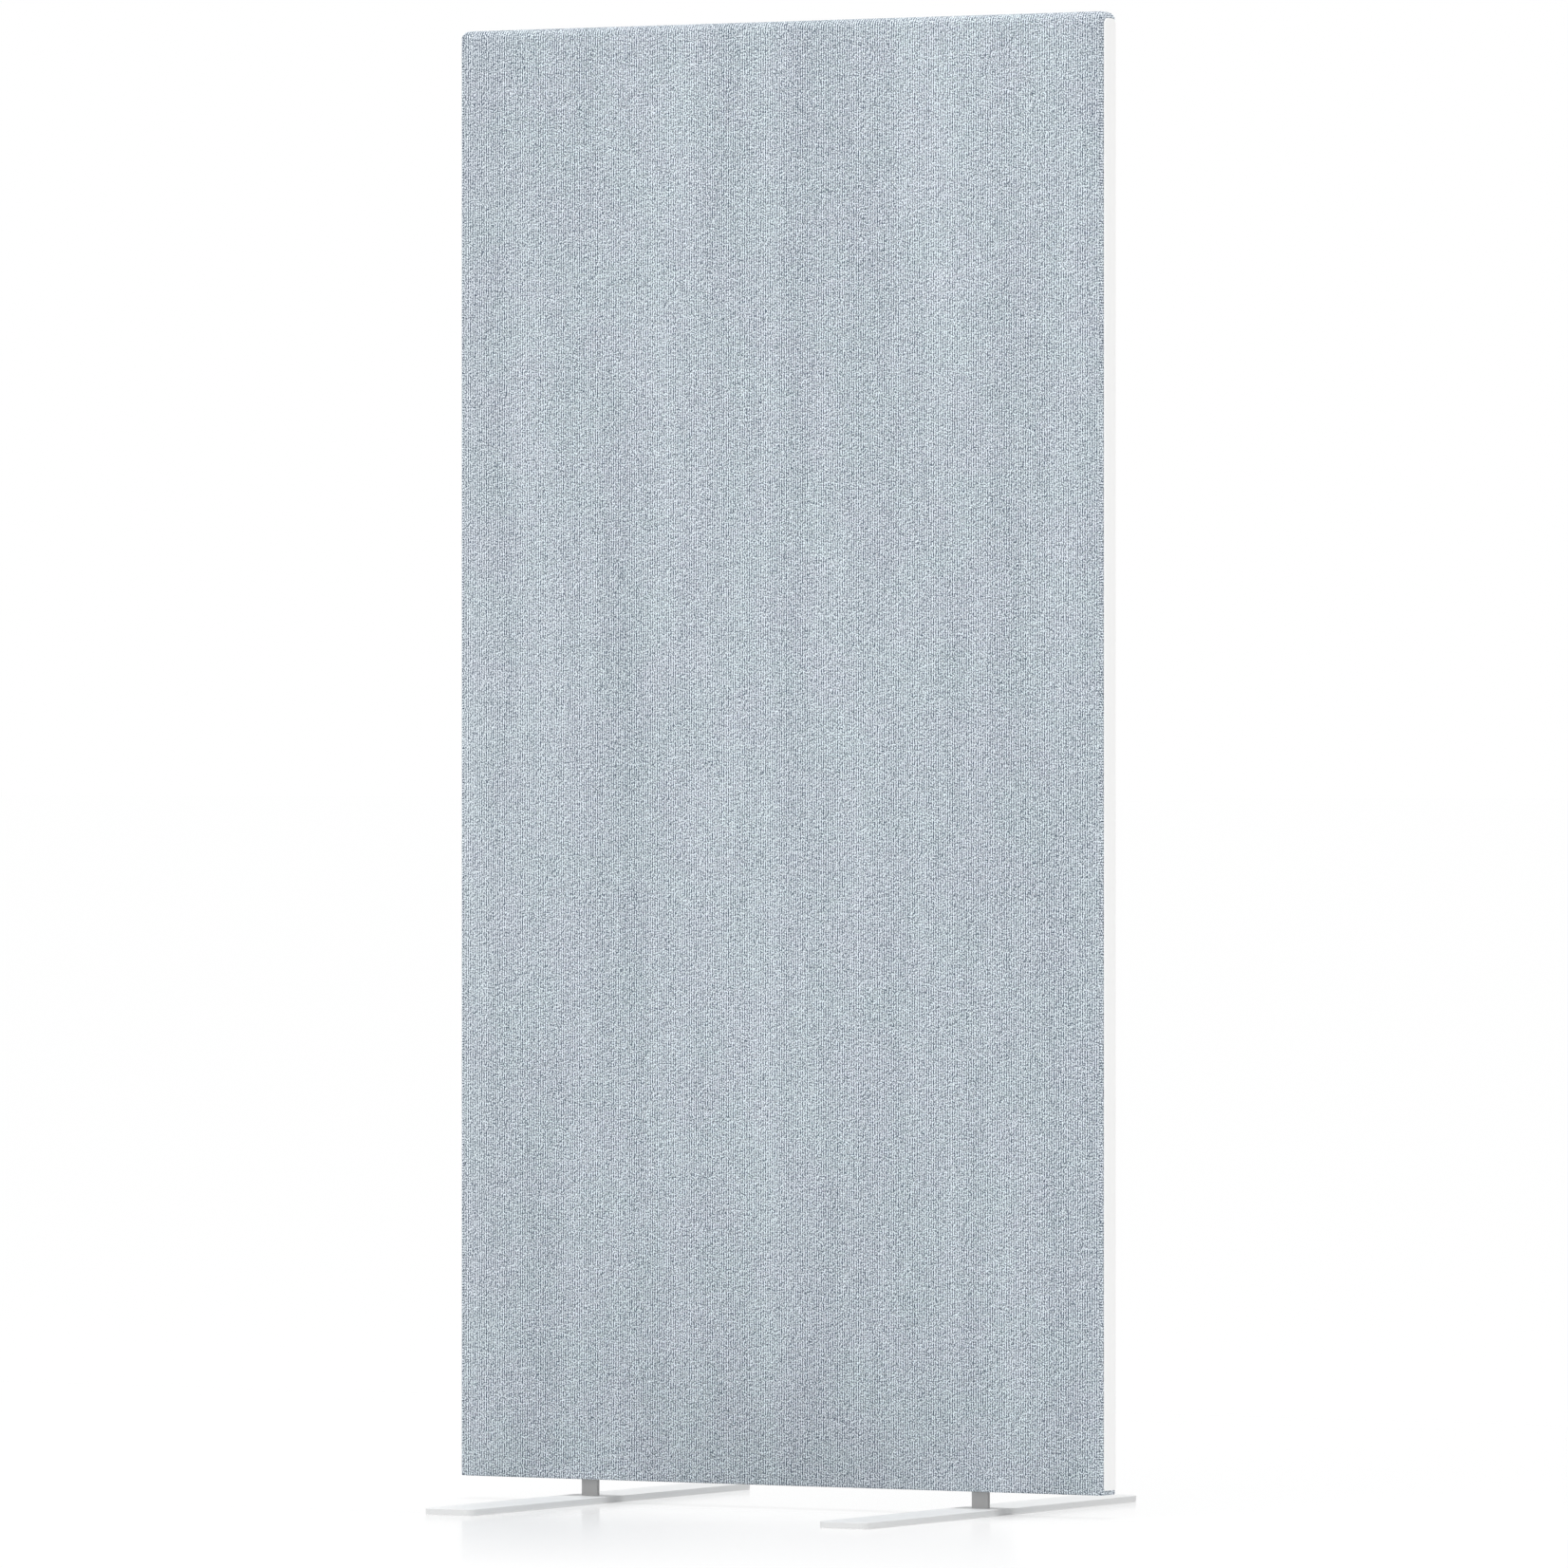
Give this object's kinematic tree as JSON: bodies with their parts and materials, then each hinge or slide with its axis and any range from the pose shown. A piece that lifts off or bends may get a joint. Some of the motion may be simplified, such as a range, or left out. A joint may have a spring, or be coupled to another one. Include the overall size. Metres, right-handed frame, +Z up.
{
  "type": "office floor screen",
  "caption": "Upright upholstered sound-absorbing screen with white edge strips, standing on flat steel feet that plug into sockets in its underside.",
  "frame": {"origin": "on the floor, under the middle of the panel", "axes": "+X along the panel's width, -Y the front face's outward normal, +Z up"},
  "size_m": [0.8, 0.6, 1.6],
  "materials": {
    "screen_fabric": "ribbed knit in pale blue and slate marl, matt",
    "edge_white": "white moulded plastic, fine satin",
    "foot_paint": "pale silver-grey powder coat, fine satin",
    "foot_pad": "grey sheet rubber",
    "frame_timber": "planed softwood",
    "dowel_beech": "turned beech",
    "infill_felt": "needled grey polyester felt",
    "wadding": "white polyester wadding",
    "zinc_steel": "bright zinc plate"
  },
  "bodies": {
    "panel": {"left_stile": "frame_timber", "right_stile": "frame_timber", "top_rail": "frame_timber", "middle_rail": "frame_timber", "bottom_rail": "frame_timber", "frame_dowels": "dowel_beech", "upper_infill": "infill_felt", "lower_infill": "infill_felt", "front_wadding": "wadding", "back_wadding": "wadding", "fabric_cover": "screen_fabric", "cover_staples": "zinc_steel", "left_edge_strip": "edge_white", "right_edge_strip": "edge_white", "left_foot_socket": "zinc_steel", "right_foot_socket": "zinc_steel", "left_socket_screws": "zinc_steel", "right_socket_screws": "zinc_steel"},
    "foot_left": {"left_foot_plate": "foot_paint", "left_foot_post": "foot_paint", "left_foot_pad": "foot_pad"},
    "foot_right": {"right_foot_plate": "foot_paint", "right_foot_post": "foot_paint", "right_foot_pad": "foot_pad"}
  },
  "joints": [
    {"name": "foot_left_pull", "type": "slide", "parent": "panel", "child": "foot_left", "axis": [0, 0, -1], "range_m": [0, 0.12]},
    {"name": "foot_right_pull", "type": "slide", "parent": "panel", "child": "foot_right", "axis": [0, 0, -1], "range_m": [0, 0.12]}
  ]
}
